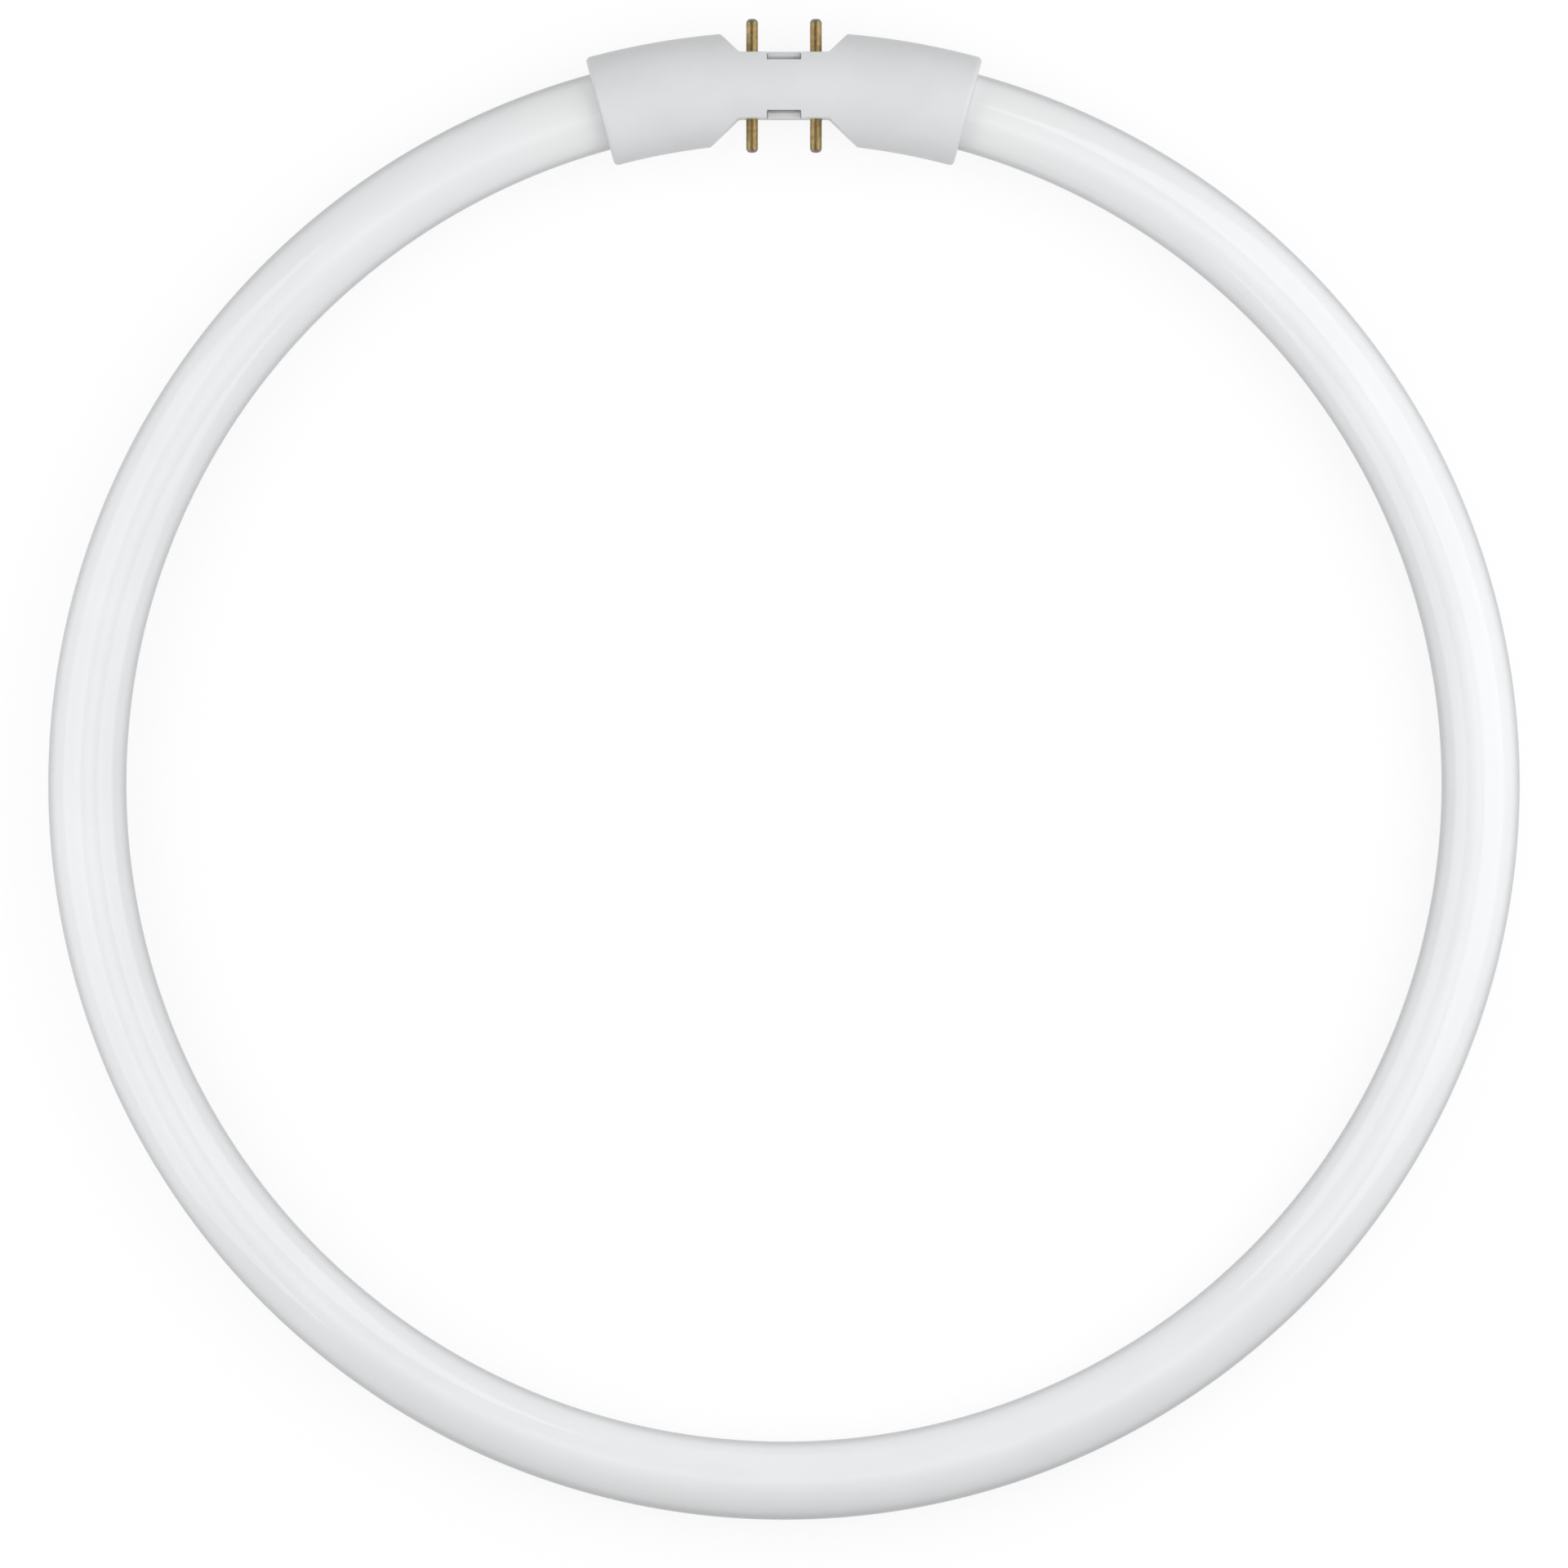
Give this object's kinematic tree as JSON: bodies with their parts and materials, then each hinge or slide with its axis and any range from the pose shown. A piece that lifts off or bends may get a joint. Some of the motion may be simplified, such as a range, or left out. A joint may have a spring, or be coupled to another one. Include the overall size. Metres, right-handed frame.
{
  "type": "circular fluorescent tube",
  "caption": "Ring of white coated glass tube whose sealed ends meet in a snap-together plastic cap with brass contact pins, a discharge lamp for a round luminaire.",
  "frame": {"origin": "centre of the ring, in the plane of the tube's centre line", "axes": "+Z along the ring's axis, towards the side with the latch wells; +Y from the centre to the cap; +X to the right of the cap seen from +Z"},
  "size_m": [0.3, 0.3059, 0.0228],
  "materials": {
    "coated_glass": "smooth clear glass over a white powder coat",
    "cap_plastic": "satin moulded white",
    "pin_brass": "turned, dulled",
    "lead_metal": "drawn wire"
  },
  "bodies": {
    "root": {"discharge_tube": "coated_glass", "cap_shell_upper": "cap_plastic", "cap_shell_lower": "cap_plastic", "contact_pin_outer_left": "pin_brass", "contact_pin_outer_right": "pin_brass", "contact_pin_inner_left": "pin_brass", "contact_pin_inner_right": "pin_brass", "lead_wire_outer_left": "lead_metal", "lead_wire_outer_right": "lead_metal", "lead_wire_inner_left": "lead_metal", "lead_wire_inner_right": "lead_metal"}
  },
  "joints": []
}
